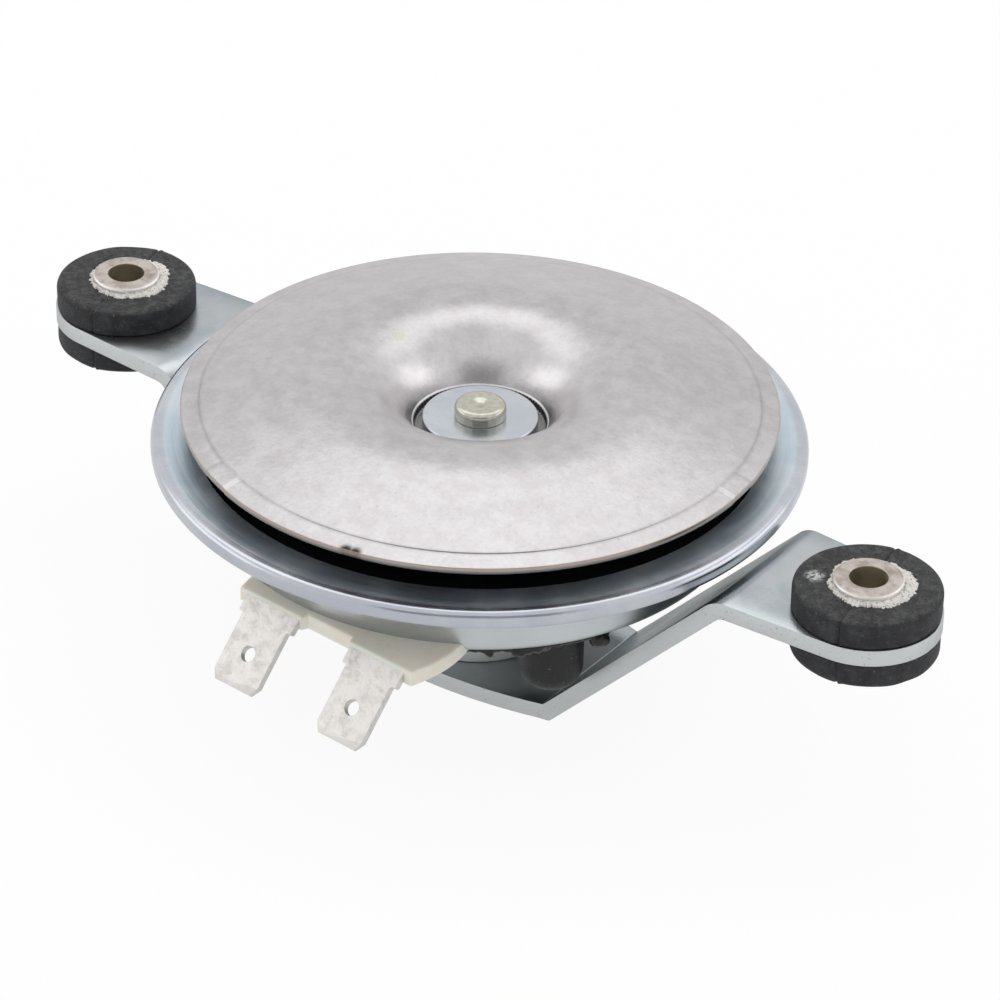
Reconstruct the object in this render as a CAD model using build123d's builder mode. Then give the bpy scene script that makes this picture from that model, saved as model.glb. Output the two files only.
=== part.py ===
from build123d import *
import os
from math import asin, atan2, cos, degrees, radians, sin, sqrt, tan

# Flat electric disc horn for a scooter or light vehicle, 12 V direct current.
#
# A steel pan holds a coil, a core and a breaker. A spring steel diaphragm closes the pan and is
# held by a crimped ring. An armature hangs under the diaphragm and an aluminium tone disc sits
# on it, clamped by one rivet. A bent strip bracket carries the horn on two rubber grommets.
#
# Frame: origin on the horn's axis at the bottom face of the bracket's centre plate, +Z towards
# the tone disc, +X towards one ear, and the terminals leave on the -Y side. Millimetres.

# ---------------------------------------------------------------- driving dimensions

# Bracket, bent from one strip
strip_thickness = 1.9
strip_half_width = 8.95
waist_half_width = 11.2  # the centre plate is widest on the horn's axis
foot_half_length = 15.8  # axis to the lower bends, along the top face
shoulder_half_length = 37.2  # axis to the upper bends, along the top face
ear_height = 24.5  # top face of the ears above the base
ear_half_width = 8.1
hole_spacing = 101.0
foot_bend_inside = 0.4
foot_bend_outside = 0.9
shoulder_bend_inside = 1.4
shoulder_bend_outside = 3.3

# Rubber grommets and their steel sleeves
grommet_radius = 7.95
grommet_flange = 3.0  # rubber above and below the ear
grommet_waist_radius = 5.6
grommet_edge = 0.65
sleeve_radius = 3.8
sleeve_bore_radius = 2.05
sleeve_proud = 0.9  # metal beyond the rubber at each end
sleeve_edge = 0.55

# Housing pan, pressed from sheet, with a deeper pot for the coil
pan_sheet = 0.6
pan_depth = 14.85  # pot bottom to the underside of the flange
pot_radius = 17.0
pot_depth = 6.0
wall_lean = 4.0  # how far the wall slopes outwards from the floor to the flange
flange_width = 2.5
pot_edge_fillet = 2.5
pot_root_fillet = 0.7
wall_foot_fillet = 4.0
flange_root_fillet = 0.6

# Rim stack and crimped ring
gasket_thickness = 0.2
diaphragm_thickness = 0.25
ring_sheet = 0.5
ring_gap = 0.4  # flange's edge to the inside of the ring
ring_lip_reach = 1.4  # the lip's edge inside the top of the pan's wall
ring_bead_start = 1.0  # top of the pan's wall to the foot of the bead
ring_bead_run = 1.0
ring_bead_height = 0.45
ring_curl = 1.1  # how far the curl reaches under the flange

# Tone disc, washer and centre rivet
disc_sheet = 0.9
disc_radius = 32.7
disc_edge_rise = 3.21  # top of the edge above the top of the well's floor
disc_crest_rise = 6.66
disc_crest_radius = 16.8
disc_cone_radius = 21.5  # the straight outer slope starts here
disc_lip_rise = 0.9
disc_lip_fillet = 1.3
well_lean = 0.12  # how far the well's wall slopes outwards
well_fillet = 0.3
well_gap = 0.9  # washer's edge to the well's wall
washer_radius = 6.35
washer_thickness = 1.5
rivet_head_radius = 2.85
rivet_head_height = 1.6
rivet_shank_radius = 2.0
rivet_dimple_radius = 1.5
rivet_dimple_depth = 0.25

# Armature and air gap
armature_radius = 9.6
armature_hub_radius = 6.5
armature_hub_height = 0.85
armature_rim_height = 2.2
armature_boss_height = 0.5
air_gap = 0.8

# Core and the spacer between the pot and the bracket
core_radius = 5.0
core_neck_radius = 3.5
stake_radius = 4.4
spacer_radius = 8.9
spacer_length = 8.5

# Coil
bobbin_gap = 3.2  # side of the pot to the bobbin's flanges
bobbin_flange = 1.0
bobbin_height = 9.4
bobbin_wall = 1.0
winding_inset = 1.0  # the flanges stand out beyond the winding

# Breaker, built beside the coil on the pan's floor
breaker_turn = -31.5  # direction from the axis to the adjusting screw, degrees
breaker_wall_gap = 0.72  # the breaker's outer corner to the foot of the pan's wall
arm_width = 5.0
arm_contact_end = -9.5  # arm ends, measured along the arm from the screw
arm_anchor_end = 17.0
arm_anchor_middle = 12.8
rivet_pitch = 4.2
contact_offset = -7.0
contact_radius = 1.5
contact_height = 0.9
fixed_arm_thickness = 0.6
moving_arm_thickness = 0.3
finger_gap = 0.3  # the finger's top to the armature
clamp_plate_thickness = 0.8
finger_width = 4.0
finger_reach = 16.2  # screw to the tip of the finger that the armature pushes
breaker_rivet_radius = 1.0
breaker_head_radius = 1.7
breaker_head_height = 0.6
adjuster_radius = 1.5
adjuster_nut_radius = 2.6
adjuster_nut_height = 1.8
adjuster_tail = 4.5  # screw below the pan's floor

# Black cap over the adjusting screw
cap_radius = 3.5
cap_gap = 0.95  # the cap to the side of the pot
cap_length = 9.0
cap_end_fillet = 2.5
cap_wall = 1.2

# Terminal block, turned a little and set off the axis
terminal_turn = -3.7
terminal_offset = 5.2
block_margin = 0.98  # block's end to the shoulder of the nearer tab
block_depth = 2.6  # block's front face beyond the foot of the pan's wall
block_lift = 0.4  # block's underside above the underside of the pan's floor
block_height = 1.9
block_bulge = 0.8  # how far the block's ends are rounded outwards
block_recess_width = 6.2
block_recess_depth = 0.8
tongue_inset = 2.1  # the tongue is shorter than the block at each end
tongue_lift = 0.2  # tongue's underside above the pan's floor
tongue_height = 1.4
tongue_depth = 7.1  # foot of the pan's wall to the tongue's inner end

# Push-on tabs
tab_pitch = 14.74
tab_thickness = 0.8
tab_width = 6.3
tab_length = 7.7
tab_shoulder_width = 7.5
tab_shoulder_length = 2.0
tab_slope = 47.0
tab_root_lift = 1.55  # block's underside to where the tab's top face leaves it
tab_hole_radius = 0.85
tab_hole_from_tip = 3.9
tab_corner = 1.1
tab_tip_inset = 0.6
tab_bevel = 0.2
tab_bevel_length = 0.95
tab_tail_width = 5.0
tab_tail_proud = 1.7  # the tail beyond the tongue's inner end

# Sealing compound and inner leads
sealant_radius = 0.9
sealant_inset = 1.6  # the bead's line inside the foot of the pan's wall
sealant_start = -59.0
sealant_sweep = 36.0
lead_radius = 0.35
lead_bend = 0.7
lead_joint = 5.0  # screw to where the coil's lead joins the moving arm

# Clearances
seat = 0.05  # round pieces in their holes
snug = 0.02  # pieces pressed together

# ---------------------------------------------------------------- worked-out radii

# The adjusting screw stands beside the pot, and the arms' anchor is as far out as the screw.
breaker_reach = pot_radius + cap_gap + cap_radius
breaker_skew = degrees(asin(arm_anchor_middle / (2 * breaker_reach)))
corner_out = arm_width / 2 * cos(radians(breaker_skew)) - arm_anchor_end * sin(radians(breaker_skew))
corner_along = arm_width / 2 * sin(radians(breaker_skew)) + arm_anchor_end * cos(radians(breaker_skew))
breaker_corner = sqrt((breaker_reach + corner_out) ** 2 + corner_along**2)

# The floor is flat out to the breaker's corner, and the wall and the rim follow from there.
wall_angle = atan2(pan_depth - pot_depth, wall_lean)
wall_foot = breaker_corner + breaker_wall_gap + wall_foot_fillet * tan(wall_angle / 2)
wall_top_radius = wall_foot + wall_lean
flange_radius = wall_top_radius + flange_width
ring_radius = flange_radius + ring_gap + ring_sheet
ring_lip_radius = wall_top_radius - ring_lip_reach
ring_curl_radius = flange_radius - ring_curl

bobbin_radius = pot_radius - bobbin_gap
winding_radius = bobbin_radius - winding_inset

well_radius = washer_radius + well_gap
disc_lip_radius = well_radius + well_lean

block_length = tab_pitch + tab_shoulder_width + 2 * block_margin
block_front = wall_foot + block_depth
tongue_length = block_length - 2 * tongue_inset
tongue_end = wall_foot - tongue_depth
tab_tail_end = tongue_end - tab_tail_proud
sealant_ring_radius = wall_foot - sealant_inset

# ---------------------------------------------------------------- worked-out heights

plate_top = strip_thickness
pot_bottom = plate_top + spacer_length
pot_floor = pot_bottom + pan_sheet
floor_bottom = pot_bottom + pot_depth
floor_top = floor_bottom + pan_sheet
flange_bottom = pot_bottom + pan_depth
flange_top = flange_bottom + pan_sheet
gasket_top = flange_top + gasket_thickness
diaphragm_top = gasket_top + diaphragm_thickness
well_floor = diaphragm_top + disc_sheet
washer_top = well_floor + washer_thickness
rim_bottom = gasket_top - armature_hub_height - armature_rim_height
pole_face = rim_bottom - armature_boss_height - air_gap
moving_arm_top = rim_bottom - finger_gap
moving_arm_bottom = moving_arm_top - moving_arm_thickness
fixed_arm_top = moving_arm_bottom - 2 * contact_height
fixed_arm_bottom = fixed_arm_top - fixed_arm_thickness
base_insulator_height = fixed_arm_bottom - floor_top

block_bottom = floor_bottom + block_lift
tongue_bottom = floor_top + tongue_lift
tab_root_height = block_bottom + tab_root_lift
tab_tail_bottom = tab_root_height - tab_thickness

ear_x = hole_spacing / 2
ear_middle = ear_height - strip_thickness / 2
neck_hole_radius = core_neck_radius + seat

os.makedirs("parts", exist_ok=True)


def save(piece, name):
    """Label a finished piece and write it as its own STEP file."""
    piece.part.label = name
    export_step(piece.part, f"parts/{name}.step")


# ---------------------------------------------------------------- mounting bracket

# Side view of the strip along its top face, then the plan outline that trims it.
strip_end = ear_x + ear_half_width + strip_thickness
side_points = [
    (-strip_end, ear_height),
    (-shoulder_half_length, ear_height),
    (-foot_half_length, plate_top),
    (foot_half_length, plate_top),
    (shoulder_half_length, ear_height),
    (strip_end, ear_height),
]
side_bends = [
    (0, foot_bend_outside),
    (plate_top, foot_bend_inside),
    (ear_height - strip_thickness, shoulder_bend_inside),
    (ear_height, shoulder_bend_outside),
]

with BuildPart() as bracket:
    with BuildSketch(Plane.XZ) as side_view:
        with BuildLine():
            Polyline(*side_points)
            offset(amount=strip_thickness, kind=Kind.INTERSECTION, side=Side.RIGHT, closed=True)
        make_face()
        for level, bend in side_bends:
            on_strip = side_view.vertices().filter_by(lambda corner: abs(corner.X) < ear_x)
            fillet(on_strip.filter_by_position(Axis.Y, level - snug, level + snug), bend)
    extrude(amount=2 * waist_half_width, both=True)
    with BuildSketch():
        with Locations((ear_x, 0), (-ear_x, 0)):
            Circle(ear_half_width)
        Rectangle(2 * shoulder_half_length, 2 * strip_half_width)
        make_hull()
        with BuildLine():
            bulge = ThreePointArc(
                (-foot_half_length, strip_half_width),
                (0, waist_half_width),
                (foot_half_length, strip_half_width),
            )
            Line(bulge @ 1, (foot_half_length, 0))
            Line((foot_half_length, 0), (-foot_half_length, 0))
            Line((-foot_half_length, 0), bulge @ 0)
        waist = make_face()
        mirror(waist, about=Plane.XZ)
    extrude(amount=2 * ear_height, mode=Mode.INTERSECT)
    with Locations((ear_x, 0, ear_height), (-ear_x, 0, ear_height)):
        Hole(radius=grommet_waist_radius + seat, depth=2 * strip_thickness)
    with Locations(Plane.XY.rotated((180, 0, 0))):
        CounterSinkHole(
            radius=neck_hole_radius,
            counter_sink_radius=stake_radius + 2 * seat,
            depth=strip_thickness,
            counter_sink_angle=90,
        )
save(bracket, "mounting_bracket")

# ---------------------------------------------------------------- grommets and sleeves

rubber_half = strip_thickness / 2 + grommet_flange
sleeve_half = rubber_half + sleeve_proud

for side, sign in (("left", -1), ("right", 1)):
    centre = Plane.XY.offset(ear_middle).move(Location((sign * ear_x, 0, 0)))

    with BuildPart() as grommet:
        with BuildSketch(centre):
            Circle(grommet_radius)
        extrude(amount=rubber_half, both=True)
        fillet(grommet.edges().filter_by(GeomType.CIRCLE), grommet_edge)
        with BuildSketch(centre):
            Circle(grommet_radius + 1)
            Circle(grommet_waist_radius, mode=Mode.SUBTRACT)
        extrude(amount=strip_thickness / 2, both=True, mode=Mode.SUBTRACT)
        with BuildSketch(centre):
            Circle(sleeve_radius + snug)
        extrude(amount=rubber_half, both=True, mode=Mode.SUBTRACT)
    save(grommet, f"grommet_{side}")

    with BuildPart() as sleeve:
        with BuildSketch(centre):
            Circle(sleeve_radius)
        extrude(amount=sleeve_half, both=True)
        fillet(sleeve.edges().filter_by(GeomType.CIRCLE), sleeve_edge)
        with BuildSketch(centre):
            Circle(sleeve_bore_radius)
        extrude(amount=sleeve_half, both=True, mode=Mode.SUBTRACT)
    save(sleeve, f"sleeve_{side}")

# ---------------------------------------------------------------- core and spacer

with BuildPart() as core:
    with BuildSketch(Plane.XZ):
        with BuildLine():
            Polyline(
                (0, pole_face),
                (core_radius, pole_face),
                (core_radius, pot_floor),
                (core_neck_radius, pot_floor),
                (core_neck_radius, stake_radius - core_neck_radius),
                (stake_radius, 0),
                (0, 0),
                close=True,
            )
        make_face()
    revolve(axis=Axis.Z)
    chamfer(core.edges().filter_by(GeomType.CIRCLE).sort_by(Axis.Z)[-1], 0.4)
save(core, "core")

with BuildPart() as spacer:
    with BuildSketch(Plane.XY.offset(plate_top)):
        Circle(spacer_radius)
        Circle(neck_hole_radius, mode=Mode.SUBTRACT)
    extrude(amount=spacer_length)
    outer_edges = spacer.edges().filter_by(GeomType.CIRCLE).sort_by(SortBy.RADIUS)[-2:]
    chamfer(outer_edges, 0.3)
save(spacer, "spacer_collar")

# ---------------------------------------------------------------- housing pan

breaker_centre = Vector(breaker_reach, 0).rotate(Axis.Z, breaker_turn)
arm_direction = Vector(1, 0).rotate(Axis.Z, breaker_turn + breaker_skew)
breaker_plane = Plane(origin=breaker_centre, x_dir=arm_direction, z_dir=(0, 0, 1))
terminal_direction = Vector(1, 0).rotate(Axis.Z, terminal_turn)
terminal_plane = Plane(origin=(0, 0, 0), x_dir=terminal_direction, z_dir=(0, 0, 1))
anchor_rivets = [
    (0, arm_anchor_middle - rivet_pitch / 2),
    (0, arm_anchor_middle + rivet_pitch / 2),
]
pan_points = [
    (neck_hole_radius, pot_bottom),
    (pot_radius, pot_bottom),
    (pot_radius, floor_bottom),
    (wall_foot, floor_bottom),
    (wall_top_radius, flange_bottom),
    (flange_radius, flange_bottom),
]
pan_fillets = [pot_edge_fillet, pot_root_fillet, wall_foot_fillet, flange_root_fillet]

with BuildPart() as pan:
    with BuildSketch(Plane.XZ):
        with BuildLine():
            FilletPolyline(*pan_points, radius=pan_fillets)
            offset(amount=pan_sheet, side=Side.LEFT, closed=True)
        make_face()
    revolve(axis=Axis.Z)
    with BuildSketch(breaker_plane.offset(floor_bottom - seat)):
        Circle(adjuster_radius + seat)
        with Locations(*anchor_rivets):
            Circle(breaker_rivet_radius + seat)
    extrude(amount=pan_sheet + 2 * seat, mode=Mode.SUBTRACT)
    with BuildSketch(terminal_plane.offset(tongue_bottom - seat)):
        with Locations((terminal_offset, -(block_front + tongue_end) / 2)):
            Rectangle(tongue_length + 2 * seat, block_front - tongue_end)
    extrude(amount=tongue_height + 2 * seat, mode=Mode.SUBTRACT)
save(pan, "housing_pan")

# The pan's outside as a solid, for cutting the pieces that fit against it.
with BuildPart() as pan_outside:
    with BuildSketch(Plane.XZ):
        with BuildLine():
            FilletPolyline((0, pot_bottom), *pan_points[1:], radius=pan_fillets)
            Polyline(pan_points[-1], (flange_radius, flange_top), (0, flange_top), (0, pot_bottom))
        make_face()
    revolve(axis=Axis.Z)

# ---------------------------------------------------------------- rim stack

with BuildPart() as gasket:
    with BuildSketch(Plane.XY.offset(flange_top)):
        Circle(flange_radius)
        Circle(wall_top_radius, mode=Mode.SUBTRACT)
    extrude(amount=gasket_thickness)
save(gasket, "rim_gasket")

diaphragm_middle = gasket_top + diaphragm_thickness / 2
corrugation_radius = 22.0
corrugation_width = 3.0
corrugation_height = 0.5

with BuildPart() as diaphragm:
    with BuildSketch(Plane.XZ):
        with BuildLine():
            FilletPolyline(
                (rivet_shank_radius + seat, diaphragm_middle),
                (corrugation_radius - corrugation_width, diaphragm_middle),
                (corrugation_radius, diaphragm_middle + corrugation_height),
                (corrugation_radius + corrugation_width, diaphragm_middle),
                (flange_radius, diaphragm_middle),
                radius=[4.0, 2.0, 4.0],
            )
        trace(line_width=diaphragm_thickness)
    revolve(axis=Axis.Z)
save(diaphragm, "diaphragm")

ring_half = ring_sheet / 2
lip_middle = diaphragm_top + ring_half
with BuildPart() as ring:
    with BuildSketch(Plane.XZ):
        with BuildLine():
            FilletPolyline(
                (ring_lip_radius, lip_middle),
                (wall_top_radius + ring_bead_start, lip_middle),
                (wall_top_radius + ring_bead_start + ring_bead_run, lip_middle + ring_bead_height),
                (ring_radius - ring_half, lip_middle + ring_bead_height),
                (ring_radius - ring_half, flange_bottom - ring_half),
                (ring_curl_radius, flange_bottom - ring_half),
                radius=[0.9, 0.9, 0.75, 0.45],
            )
        trace(line_width=ring_sheet)
    revolve(axis=Axis.Z)
save(ring, "crimp_ring")

# ---------------------------------------------------------------- tone disc

# Top surface of the disc: well floor, well wall, funnel up to the crest, then the outer slope.
funnel_rise = disc_crest_rise - disc_lip_rise
funnel_run = disc_crest_radius - disc_lip_radius
funnel_tangent = (funnel_run**2 + funnel_rise**2) / (2 * funnel_run)
funnel_slope = atan2(funnel_rise, funnel_run - funnel_tangent)
slope_start = (disc_crest_radius + disc_cone_radius) / 2
slope_angle = atan2(disc_crest_rise - disc_edge_rise, disc_radius - slope_start)
disc_points = [
    (rivet_shank_radius + seat, well_floor),
    (well_radius, well_floor),
    (disc_lip_radius, well_floor + disc_lip_rise),
    (disc_crest_radius - funnel_tangent, well_floor + disc_crest_rise),
    (slope_start, well_floor + disc_crest_rise),
    (disc_radius, well_floor + disc_edge_rise),
]
disc_fillets = [
    well_fillet,
    disc_lip_fillet,
    0.88 * funnel_tangent / tan(funnel_slope / 2),
    0.95 * (slope_start - disc_crest_radius) / tan(slope_angle / 2),
]

with BuildPart() as tone_disc:
    with BuildSketch(Plane.XZ):
        with BuildLine():
            FilletPolyline(*disc_points, radius=disc_fillets)
            offset(amount=disc_sheet, side=Side.RIGHT, closed=True)
        make_face()
    revolve(axis=Axis.Z)
save(tone_disc, "tone_disc")

with BuildPart() as washer:
    with BuildSketch(Plane.XY.offset(well_floor)):
        Circle(washer_radius)
        Circle(rivet_shank_radius + seat, mode=Mode.SUBTRACT)
    extrude(amount=washer_thickness)
    top_edge = washer.edges().filter_by(GeomType.CIRCLE).group_by(Axis.Z)[-1]
    fillet(top_edge.sort_by(SortBy.RADIUS)[-1], 0.2)
save(washer, "clamp_washer")

tail_bottom = rim_bottom - armature_boss_height + 0.2
tail_top = tail_bottom + 0.8
tail_radius = rivet_shank_radius + 0.6
with BuildPart() as rivet:
    with BuildSketch(Plane.XZ):
        with BuildLine():
            Polyline(
                (0, washer_top + rivet_head_height),
                (rivet_head_radius, washer_top + rivet_head_height),
                (rivet_head_radius, washer_top),
                (rivet_shank_radius, washer_top),
                (rivet_shank_radius, tail_top),
                (tail_radius, tail_top),
                (tail_radius, tail_bottom),
                (0, tail_bottom),
                close=True,
            )
        make_face()
    revolve(axis=Axis.Z)
    fillet(rivet.edges().filter_by(GeomType.CIRCLE).sort_by(Axis.Z)[-1], 0.45)
    with BuildSketch(Plane.XY.offset(washer_top + rivet_head_height)):
        Circle(rivet_dimple_radius)
    extrude(amount=-rivet_dimple_depth, taper=50, mode=Mode.SUBTRACT)
save(rivet, "centre_rivet")

# ---------------------------------------------------------------- armature

with BuildPart() as armature:
    with BuildSketch(Plane.XZ):
        with BuildLine():
            Polyline(
                (rivet_shank_radius + seat, gasket_top),
                (armature_hub_radius, gasket_top),
                (armature_hub_radius, gasket_top - armature_hub_height),
                (armature_radius, gasket_top - armature_hub_height),
                (armature_radius, rim_bottom),
                (core_radius, rim_bottom),
                (core_radius, rim_bottom - armature_boss_height),
                (tail_radius + seat, rim_bottom - armature_boss_height),
                (tail_radius + seat, tail_top),
                (rivet_shank_radius + seat, tail_top),
                close=True,
            )
        make_face()
    revolve(axis=Axis.Z)
save(armature, "armature")

# ---------------------------------------------------------------- coil

bobbin_top = pot_floor + bobbin_height
hub_radius = core_radius + seat + bobbin_wall

with BuildPart() as bobbin:
    with BuildSketch(Plane.XZ):
        with BuildLine():
            Polyline(
                (core_radius + seat, pot_floor),
                (bobbin_radius, pot_floor),
                (bobbin_radius, pot_floor + bobbin_flange),
                (hub_radius, pot_floor + bobbin_flange),
                (hub_radius, bobbin_top - bobbin_flange),
                (bobbin_radius, bobbin_top - bobbin_flange),
                (bobbin_radius, bobbin_top),
                (core_radius + seat, bobbin_top),
                close=True,
            )
        make_face()
    revolve(axis=Axis.Z)
save(bobbin, "coil_bobbin")

with BuildPart() as winding:
    with BuildSketch(Plane.XY.offset(pot_floor + bobbin_flange)):
        Circle(winding_radius)
        Circle(hub_radius, mode=Mode.SUBTRACT)
    extrude(amount=bobbin_height - 2 * bobbin_flange)
save(winding, "coil_winding")

# ---------------------------------------------------------------- breaker

arm_length = arm_anchor_end - arm_contact_end
arm_middle = (arm_anchor_end + arm_contact_end) / 2
anchor_length = 2 * (arm_anchor_end - arm_anchor_middle)

with BuildPart() as fixed_arm:
    with BuildSketch(breaker_plane.offset(fixed_arm_bottom)):
        with Locations((0, arm_middle)):
            RectangleRounded(arm_width, arm_length, 1.0)
        with Locations(*anchor_rivets):
            Circle(breaker_rivet_radius + seat, mode=Mode.SUBTRACT)
    extrude(amount=fixed_arm_thickness)
save(fixed_arm, "fixed_contact_arm")

with BuildPart() as moving_arm:
    with BuildSketch(breaker_plane.offset(moving_arm_bottom)):
        with Locations((0, arm_middle)):
            RectangleRounded(arm_width, arm_length, 1.0)
        with Locations((-finger_reach / 2, 0)):
            Rectangle(finger_reach, finger_width)
        with Locations(*anchor_rivets):
            Circle(breaker_rivet_radius + seat, mode=Mode.SUBTRACT)
    extrude(amount=moving_arm_thickness)
save(moving_arm, "moving_contact_spring")

contacts = [
    ("fixed_contact", fixed_arm_top),
    ("moving_contact", fixed_arm_top + contact_height),
]
for name, height in contacts:
    with BuildPart() as contact:
        with BuildSketch(breaker_plane.offset(height)):
            with Locations((0, contact_offset)):
                Circle(contact_radius)
        extrude(amount=contact_height)
    save(contact, name)

anchor_layers = [
    ("breaker_base_insulator", floor_top, base_insulator_height),
    ("breaker_middle_insulator", fixed_arm_top, 2 * contact_height),
    ("breaker_clamp_plate", moving_arm_top, clamp_plate_thickness),
]
for name, height, thickness in anchor_layers:
    with BuildPart() as layer:
        with BuildSketch(breaker_plane.offset(height)):
            with Locations((0, arm_anchor_middle)):
                Rectangle(arm_width, anchor_length)
            with Locations(*anchor_rivets):
                Circle(breaker_rivet_radius + seat, mode=Mode.SUBTRACT)
        extrude(amount=thickness)
    save(layer, name)

clamp_top = moving_arm_top + clamp_plate_thickness
with BuildPart() as breaker_rivets:
    with BuildSketch(breaker_plane.offset(floor_bottom)):
        with Locations(*anchor_rivets):
            Circle(breaker_rivet_radius)
    extrude(amount=clamp_top - floor_bottom)
    for height in (floor_bottom - breaker_head_height, clamp_top):
        with BuildSketch(breaker_plane.offset(height)):
            with Locations(*anchor_rivets):
                Circle(breaker_head_radius)
        extrude(amount=breaker_head_height)
save(breaker_rivets, "breaker_rivets")

with BuildPart() as adjuster_nut:
    with BuildSketch(breaker_plane.offset(floor_top)):
        RegularPolygon(adjuster_nut_radius, 6)
        Circle(adjuster_radius + seat, mode=Mode.SUBTRACT)
    extrude(amount=adjuster_nut_height)
save(adjuster_nut, "adjuster_nut")

screw_bottom = floor_bottom - adjuster_tail
with BuildPart() as adjuster:
    with BuildSketch(breaker_plane.offset(screw_bottom)):
        Circle(adjuster_radius)
    extrude(amount=fixed_arm_bottom - screw_bottom)
    with BuildSketch(breaker_plane.offset(screw_bottom)):
        Rectangle(3 * adjuster_radius, 0.5)
    extrude(amount=0.8, mode=Mode.SUBTRACT)
save(adjuster, "adjusting_screw")

with BuildPart() as cap:
    with BuildSketch(breaker_plane.offset(floor_bottom)):
        Circle(cap_radius)
    extrude(amount=-cap_length)
    fillet(cap.edges().filter_by(GeomType.CIRCLE).sort_by(Axis.Z)[0], cap_end_fillet)
    with BuildSketch(breaker_plane.offset(floor_bottom)):
        Circle(cap_radius - cap_wall)
    extrude(amount=-(adjuster_tail + 0.3), mode=Mode.SUBTRACT)
save(cap, "adjuster_cap")

# ---------------------------------------------------------------- push-on tabs

# Each tab is one stamping: a flat tail through the block, then the blade, bent down.
slope = radians(tab_slope)
tab_up = Vector(0, -sin(slope), cos(slope))
tab_centres = {
    "left": terminal_offset - tab_pitch / 2,
    "right": terminal_offset + tab_pitch / 2,
}
blade_length = tab_shoulder_length + tab_length
root_inset = 0.35
half_tip = tab_width / 2 - tab_tip_inset
blade_side = [
    (tab_shoulder_width / 2, root_inset),
    (tab_shoulder_width / 2, -tab_shoulder_length),
    (tab_width / 2, -tab_shoulder_length),
    (tab_width / 2, tab_corner - blade_length),
    (half_tip, -blade_length),
]

tabs = {}
for side, tab_x in tab_centres.items():
    root = Vector(tab_x, -block_front, tab_root_height) - tab_up * tab_thickness
    blade_plane = Plane(
        origin=terminal_plane.from_local_coords(root),
        x_dir=terminal_direction,
        z_dir=terminal_plane.from_local_coords(tab_up),
    )
    with BuildPart() as tab:
        with BuildSketch(blade_plane):
            with BuildLine():
                Polyline(*blade_side)
                Polyline(*[(-x, y) for x, y in blade_side])
                Line(blade_side[0], (-tab_shoulder_width / 2, root_inset))
                Line(blade_side[-1], (-half_tip, -blade_length))
            make_face()
            with Locations((0, tab_hole_from_tip - blade_length)):
                Circle(tab_hole_radius, mode=Mode.SUBTRACT)
        extrude(amount=tab_thickness)
        tip_face = tab.faces().sort_by(Axis(blade_plane.origin, -blade_plane.y_dir))[-1]
        tip_edges = tip_face.edges().sort_by(SortBy.LENGTH)[-2:]
        chamfer(tip_edges, tab_bevel, tab_bevel_length, reference=tip_face)
        with BuildSketch(terminal_plane.offset(tab_tail_bottom)):
            with Locations((tab_x, -(block_front + tab_tail_end) / 2)):
                Rectangle(tab_tail_width, block_front - tab_tail_end)
        extrude(amount=tab_thickness)
    save(tab, f"terminal_tab_{side}")
    tabs[side] = tab

# ---------------------------------------------------------------- terminal block

block_right = terminal_offset + block_length / 2
block_left = terminal_offset - block_length / 2
block_middle = (block_front + tongue_end) / 2

with BuildPart() as block:
    with BuildSketch(terminal_plane.offset(block_bottom)):
        with BuildLine():
            front = Line((block_left, -block_front), (block_right, -block_front))
            back = Line((block_right, -tongue_end), (block_left, -tongue_end))
            ThreePointArc(front @ 1, (block_right + block_bulge, -block_middle), back @ 0)
            ThreePointArc(back @ 1, (block_left - block_bulge, -block_middle), front @ 0)
        make_face()
    extrude(amount=block_height)
    add(pan_outside.part, mode=Mode.SUBTRACT)
    with BuildSketch(terminal_plane.offset(block_bottom)):
        with Locations((terminal_offset, -block_front)):
            Rectangle(block_recess_width, 2 * block_recess_depth)
    extrude(amount=block_height, mode=Mode.SUBTRACT)
    with BuildSketch(terminal_plane.offset(tongue_bottom)):
        with Locations((terminal_offset, -(block_front - 1 + tongue_end) / 2)):
            Rectangle(tongue_length, block_front - 1 - tongue_end)
    extrude(amount=tongue_height)
    for tab in tabs.values():
        add(tab.part, mode=Mode.SUBTRACT)
save(block, "terminal_block")

# ---------------------------------------------------------------- sealing compound

with BuildPart() as sealant:
    with BuildLine():
        bead_line = CenterArc((0, 0, floor_bottom), sealant_ring_radius, sealant_start, sealant_sweep)
    with BuildSketch(Plane(origin=bead_line @ 0, z_dir=bead_line % 0)):
        Circle(sealant_radius)
    sweep()
    with Locations(bead_line @ 0, bead_line @ 1):
        Sphere(sealant_radius)
    with Locations(bead_line @ 0.35, bead_line @ 0.75):
        Sphere(1.25 * sealant_radius)
    add(pan_outside.part, mode=Mode.SUBTRACT)
    add(block.part, mode=Mode.SUBTRACT)
    add(cap.part, mode=Mode.SUBTRACT)
save(sealant, "sealant_bead")

# ---------------------------------------------------------------- inner leads

lead_height = tab_root_height + lead_radius
coil_exit = winding_radius + snug


def on_terminal(x, y, z):
    return terminal_plane.from_local_coords(Vector(x, y, z))


def on_breaker(x, y, z):
    return breaker_plane.from_local_coords(Vector(x, y, z))


over_arm = moving_arm_top + lead_radius
under_arm = fixed_arm_bottom - lead_radius
anchor_end = on_breaker(-0.5, lead_joint, 0)
anchor_edge = on_breaker(-arm_width / 2 - 0.5, lead_joint, 0)
anchor_way = Vector(anchor_edge.X, anchor_edge.Y).normalized()
exit_point = anchor_way * coil_exit
riser_point = anchor_way * (bobbin_radius + 1.6)
left_x = tab_centres["left"]
right_x = tab_centres["right"]

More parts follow.
